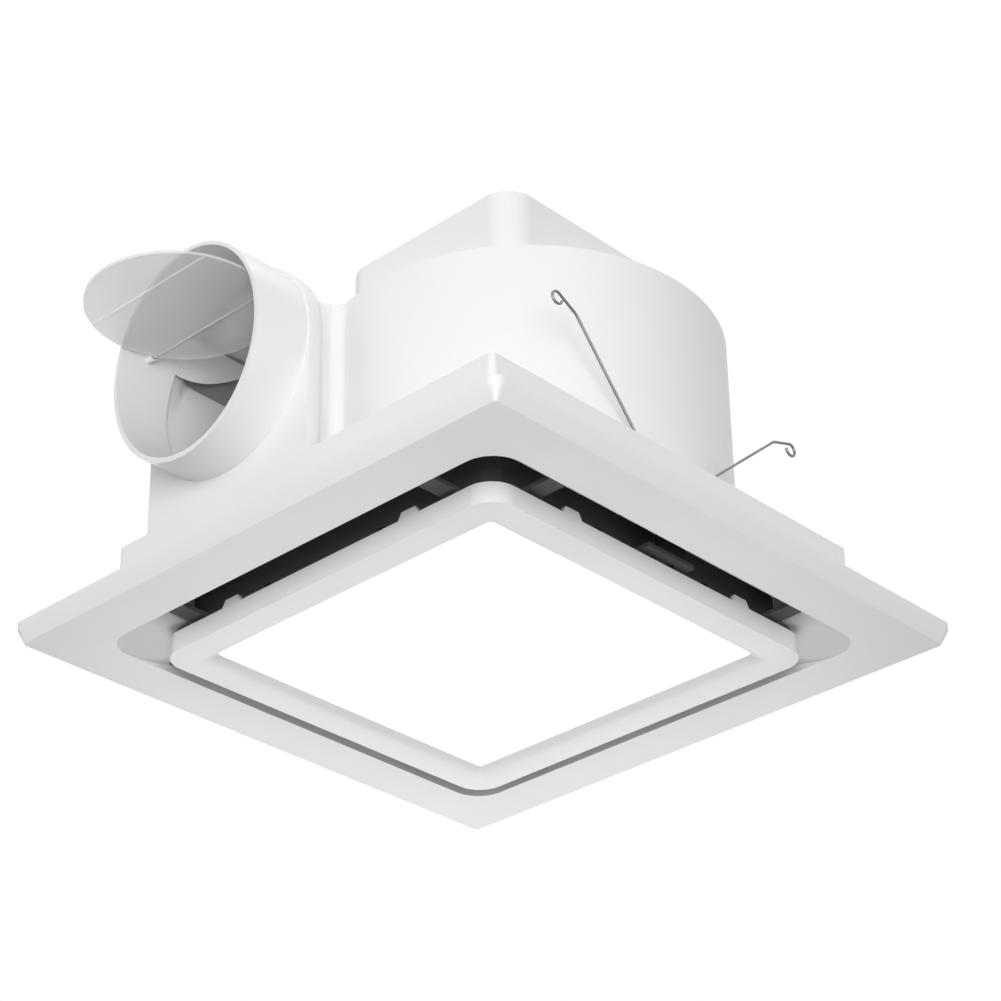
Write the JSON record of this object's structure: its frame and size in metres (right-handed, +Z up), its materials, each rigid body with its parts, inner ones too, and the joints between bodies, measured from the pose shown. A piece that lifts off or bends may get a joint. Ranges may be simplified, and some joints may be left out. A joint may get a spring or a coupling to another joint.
{
  "type": "bathroom exhaust fan",
  "caption": "Ceiling exhaust fan with a square light panel, a scroll fan house, a round side duct collar with a swing damper, and wire springs that hold the panel up",
  "frame": {"origin": "middle of the ceiling plane, which is the top of the tray's flange and of the panel's rim", "axes": "+Z up through the ceiling, -X out of the duct collar, -Y toward the front pair of spring legs"},
  "size_m": [0.3412, 0.3, 0.1931],
  "materials": {
    "housing_white": "smooth moulded white",
    "panel_white": "fine satin white",
    "bezel_white": "smooth moulded white",
    "diffuser_white": "even opal",
    "guide_clear": "polished",
    "sheet_white": "flat white film",
    "flap_film": "frosted",
    "carrier_black": "fine grain",
    "fan_grey": "moulded",
    "black_plastic": "moulded",
    "rubber_black": "matt",
    "spring_steel": "drawn wire",
    "plated_steel": "bright plated",
    "blacked_steel": "dull black oxide",
    "screw_steel": "bright plated",
    "terminal_brass": "plain",
    "core_steel": "stacked sheet",
    "coil_copper": "varnished winding",
    "sheet_aluminium": "plain sheet",
    "chip_yellow": "phosphor coat"
  },
  "bodies": {
    "housing": {"base_tray": "housing_white", "volute_shell": "housing_white", "volute_screws": "screw_steel", "wiring_cover": "housing_white", "wiring_cover_screws": "screw_steel", "inlet_ring": "housing_white", "inlet_screws": "screw_steel", "duct_collar": "housing_white", "motor_plate": "plated_steel", "rubber_mounts": "rubber_black", "motor_screws": "screw_steel", "motor_upper_can": "plated_steel", "motor_lower_can": "plated_steel", "stator_core": "core_steel", "stator_coils": "coil_copper", "bearing_upper": "plated_steel", "bearing_lower": "plated_steel", "capacitor": "sheet_aluminium", "terminal_block": "black_plastic", "terminal_screws": "terminal_brass", "cable_gland": "black_plastic", "gland_nut": "black_plastic"},
    "impeller": {"impeller_wheel": "fan_grey", "motor_shaft": "plated_steel", "rotor_core": "core_steel", "impeller_washer": "plated_steel", "impeller_nut": "plated_steel"},
    "damper": {"damper_flap": "flap_film", "damper_pin": "plated_steel"},
    "panel": {"face_panel": "panel_white", "lamp_carrier": "carrier_black", "carrier_screws": "blacked_steel", "lamp_bezel": "bezel_white", "lamp_diffuser": "diffuser_white", "light_guide": "guide_clear", "reflector_sheet": "sheet_white", "led_strips": "sheet_aluminium", "led_chips": "chip_yellow", "lamp_back_plate": "sheet_aluminium", "lamp_screws": "blacked_steel", "led_driver": "black_plastic", "spring_bracket_front": "blacked_steel", "spring_bracket_rear": "blacked_steel", "spring_pivots": "blacked_steel", "bracket_screws": "blacked_steel"},
    "spring_front_left": {"spring_leg_front_left": "spring_steel"},
    "spring_front_right": {"spring_leg_front_right": "spring_steel"},
    "spring_rear_left": {"spring_leg_rear_left": "spring_steel"},
    "spring_rear_right": {"spring_leg_rear_right": "spring_steel"}
  },
  "joints": [
    {"name": "impeller_spin", "type": "hinge", "parent": "housing", "child": "impeller", "pos_m": [0.0147, -0.0133, 0.098], "axis": [0, 0, 1], "continuous": true},
    {"name": "damper_swing", "type": "hinge", "parent": "housing", "child": "damper", "pos_m": [-0.129, 0.0465, 0.124], "axis": [0, 1, 0], "range_deg": [-90, 0]},
    {"name": "panel_drop", "type": "slide", "parent": "housing", "child": "panel", "axis": [0, 0, -1], "range_m": [0, 0.06], "stiffness_N_per_m": 300, "springref_m": -0.08},
    {"name": "spring_front_left_fold", "type": "hinge", "parent": "panel", "child": "spring_front_left", "pos_m": [0.0035, -0.1117, 0.0268], "axis": [0, 1, 0], "range_deg": [0, 32]},
    {"name": "spring_front_right_fold", "type": "hinge", "parent": "panel", "child": "spring_front_right", "pos_m": [0.0035, -0.1117, 0.0268], "axis": [0, -1, 0], "range_deg": [0, 39]},
    {"name": "spring_rear_left_fold", "type": "hinge", "parent": "panel", "child": "spring_rear_left", "pos_m": [-0.0035, 0.1117, 0.0268], "axis": [0, 1, 0], "range_deg": [0, 39]},
    {"name": "spring_rear_right_fold", "type": "hinge", "parent": "panel", "child": "spring_rear_right", "pos_m": [-0.0035, 0.1117, 0.0268], "axis": [0, -1, 0], "range_deg": [0, 32]}
  ],
  "couplings": [
    {"joint": "spring_front_left_fold", "follows": "panel_drop", "rad_per_m": 9.1},
    {"joint": "spring_front_right_fold", "follows": "panel_drop", "rad_per_m": 11.02},
    {"joint": "spring_rear_left_fold", "follows": "panel_drop", "rad_per_m": 11.02},
    {"joint": "spring_rear_right_fold", "follows": "panel_drop", "rad_per_m": 9.1}
  ]
}
